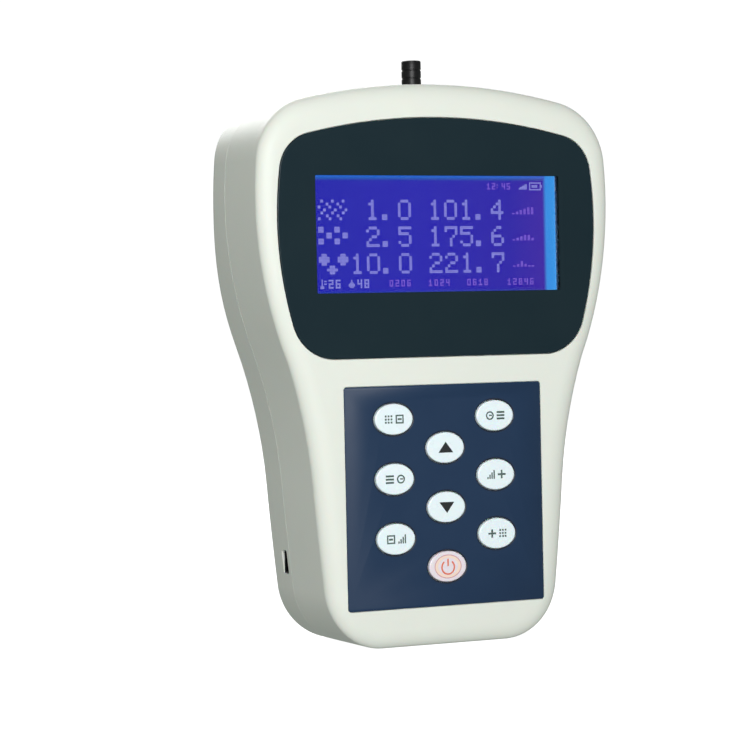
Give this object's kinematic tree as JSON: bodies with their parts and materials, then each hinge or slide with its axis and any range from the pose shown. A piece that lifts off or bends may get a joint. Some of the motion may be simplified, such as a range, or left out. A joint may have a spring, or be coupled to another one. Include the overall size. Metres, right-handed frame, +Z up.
{
  "type": "air quality monitor",
  "caption": "Handheld air quality monitor: wide head with a graphic display, keypad grip, laser dust sensor with fan, battery bay and top sampling nozzle.",
  "frame": {"origin": "centre of the bounding box footprint at the base of the case, standing upright", "axes": "+Z up along the case towards the nozzle, display and keys facing -Y, +X to the right of someone reading the display"},
  "size_m": [0.1342, 0.0456, 0.1994],
  "materials": {
    "shell_plastic": "satin warm white moulded ABS with a fine texture",
    "window_lens": "clear polished acrylic, printed blue-black around the display",
    "keypad_film": "satin navy polyester film",
    "key_plastic": "smooth bluish white moulded plastic",
    "lcd_glass": "blue negative graphic display",
    "lcd_backlight": "white light guide",
    "circuit_board": "green solder mask",
    "black_plastic": "black moulded plastic",
    "grey_plastic": "grey moulded plastic",
    "white_plastic": "natural nylon",
    "plated_steel": "bright zinc or nickel plate",
    "brass": "turned brass",
    "black_metal": "black anodised aluminium",
    "rubber": "soft black rubber or foam",
    "silicone": "translucent silicone",
    "label": "blank satin foil",
    "cell_wrap": "blue shrink wrap",
    "flat_cable": "polyester ribbon",
    "wire_insulation": "soft vinyl insulation"
  },
  "bodies": {
    "case": {"front_shell": "shell_plastic", "rear_shell": "shell_plastic", "case_screws": "plated_steel", "case_inserts": "brass", "rating_label": "label", "display_lens": "window_lens", "display_gasket": "rubber", "lcd_bezel": "plated_steel", "lcd_glass": "lcd_glass", "lcd_backlight": "lcd_backlight", "lcd_board": "circuit_board", "lcd_drivers": "black_plastic", "lcd_board_screws": "plated_steel", "lcd_ribbon": "flat_cable", "keypad_overlay": "keypad_film", "key_switches": "black_plastic", "keypad_board": "circuit_board", "keypad_board_screws": "plated_steel", "keypad_header": "black_plastic", "main_board": "circuit_board", "main_board_screws": "plated_steel", "board_chips": "black_plastic", "board_connectors": "white_plastic", "buzzer": "black_plastic", "usb_board": "circuit_board", "usb_socket": "plated_steel", "usb_tongue": "black_plastic", "usb_board_screws": "plated_steel", "usb_cable": "wire_insulation", "battery_cradle": "grey_plastic", "battery_cells": "plated_steel", "cell_wraps": "cell_wrap", "battery_springs": "plated_steel", "battery_contacts": "plated_steel", "battery_leads": "wire_insulation", "sensor_housing": "black_plastic", "sensor_cover": "plated_steel", "sensor_board": "circuit_board", "laser_module": "brass", "photodiode": "black_plastic", "fan_frame": "black_plastic", "exhaust_gasket": "rubber", "sensor_screws": "plated_steel", "sensor_cable": "wire_insulation", "inlet_nozzle": "black_metal", "nozzle_seal": "rubber", "nozzle_nut": "brass", "inlet_tube": "silicone"},
    "key_left_top": {"key_left_top": "key_plastic"},
    "key_left_middle": {"key_left_middle": "key_plastic"},
    "key_left_bottom": {"key_left_bottom": "key_plastic"},
    "key_right_top": {"key_right_top": "key_plastic"},
    "key_right_middle": {"key_right_middle": "key_plastic"},
    "key_right_bottom": {"key_right_bottom": "key_plastic"},
    "key_up": {"key_up": "key_plastic"},
    "key_down": {"key_down": "key_plastic"},
    "key_power": {"key_power": "key_plastic"},
    "battery_door": {"battery_door": "shell_plastic"},
    "fan_rotor": {"fan_rotor": "grey_plastic"}
  },
  "joints": [
    {"name": "key_left_top_press", "type": "slide", "parent": "case", "child": "key_left_top", "axis": [0, 1, 0], "range_m": [0, 0.0005], "stiffness_N_per_m": 1500, "springref_m": -0.0005},
    {"name": "key_left_middle_press", "type": "slide", "parent": "case", "child": "key_left_middle", "axis": [0, 1, 0], "range_m": [0, 0.0005], "stiffness_N_per_m": 1500, "springref_m": -0.0005},
    {"name": "key_left_bottom_press", "type": "slide", "parent": "case", "child": "key_left_bottom", "axis": [0, 1, 0], "range_m": [0, 0.0005], "stiffness_N_per_m": 1500, "springref_m": -0.0005},
    {"name": "key_right_top_press", "type": "slide", "parent": "case", "child": "key_right_top", "axis": [0, 1, 0], "range_m": [0, 0.0005], "stiffness_N_per_m": 1500, "springref_m": -0.0005},
    {"name": "key_right_middle_press", "type": "slide", "parent": "case", "child": "key_right_middle", "axis": [0, 1, 0], "range_m": [0, 0.0005], "stiffness_N_per_m": 1500, "springref_m": -0.0005},
    {"name": "key_right_bottom_press", "type": "slide", "parent": "case", "child": "key_right_bottom", "axis": [0, 1, 0], "range_m": [0, 0.0005], "stiffness_N_per_m": 1500, "springref_m": -0.0005},
    {"name": "key_up_press", "type": "slide", "parent": "case", "child": "key_up", "axis": [0, 1, 0], "range_m": [0, 0.0005], "stiffness_N_per_m": 1500, "springref_m": -0.0005},
    {"name": "key_down_press", "type": "slide", "parent": "case", "child": "key_down", "axis": [0, 1, 0], "range_m": [0, 0.0005], "stiffness_N_per_m": 1500, "springref_m": -0.0005},
    {"name": "key_power_press", "type": "slide", "parent": "case", "child": "key_power", "axis": [0, 1, 0], "range_m": [0, 0.0005], "stiffness_N_per_m": 1500, "springref_m": -0.0005},
    {"name": "battery_door_tilt", "type": "hinge", "parent": "case", "child": "battery_door", "pos_m": [0, 0.0228, 0.02415], "axis": [-1, 0, 0], "range_deg": [0, 50]},
    {"name": "fan_spin", "type": "hinge", "parent": "case", "child": "fan_rotor", "pos_m": [0, 0.0102, 0.13], "axis": [0, 1, 0], "continuous": true}
  ]
}
